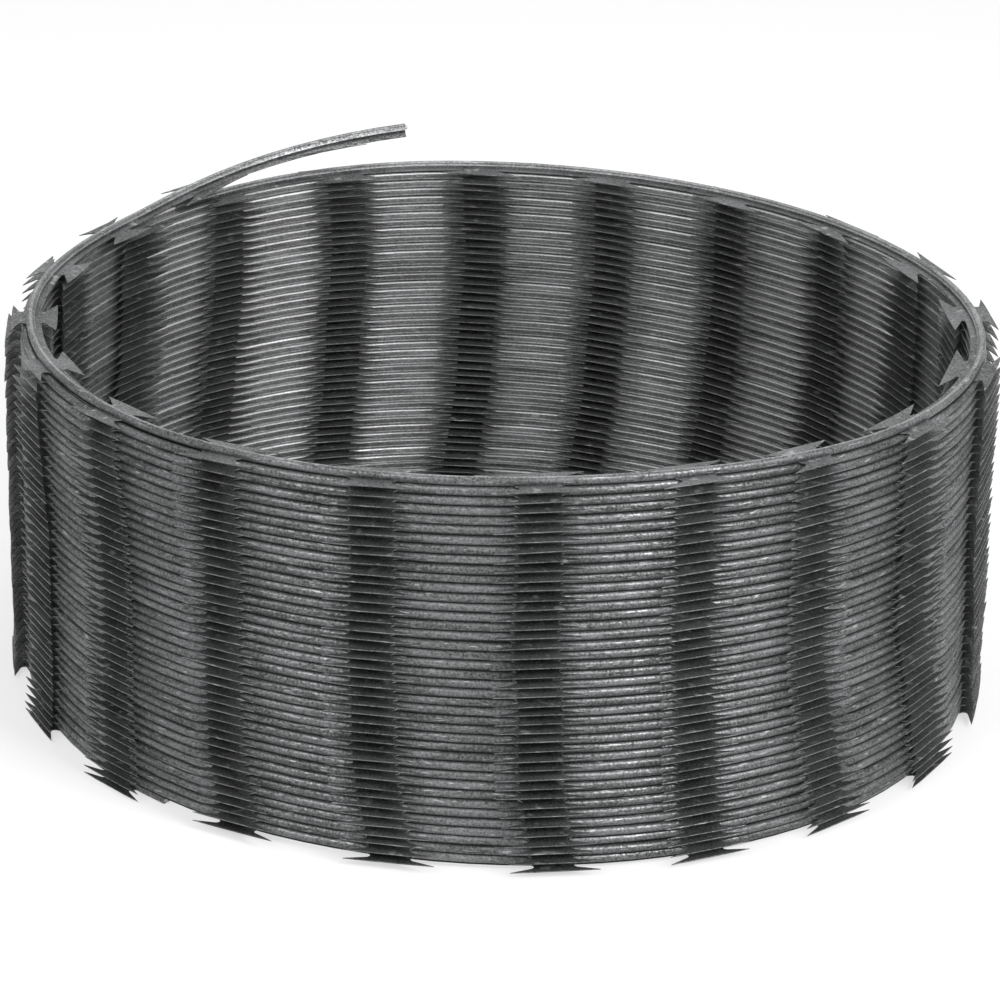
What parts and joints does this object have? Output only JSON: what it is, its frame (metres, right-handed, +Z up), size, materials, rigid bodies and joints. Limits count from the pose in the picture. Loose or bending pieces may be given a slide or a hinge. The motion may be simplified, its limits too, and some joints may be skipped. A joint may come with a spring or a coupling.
{
  "type": "concertina wire coil",
  "caption": "Closed coil of concertina wire: barbed steel strip crimped round a core wire, stacked turn on turn, with an open middle and two loose ends.",
  "frame": {"origin": "on the coil's axis, at the level of the floor that it stands on", "axes": "+Z up along the coil's axis; +X to the right and +Y away when the cut end of the lowest turn is at the front left and the raised loose end at the back left"},
  "size_m": [0.626, 0.626, 0.2655],
  "materials": {
    "strip": "dull hot-dip galvanised, weathered to a dark neutral grey",
    "wire": "bright where it is cut, grey galvanised along its sides"
  },
  "bodies": {
    "root": {"barbed_strip": "strip", "core_wire": "wire"}
  },
  "joints": []
}
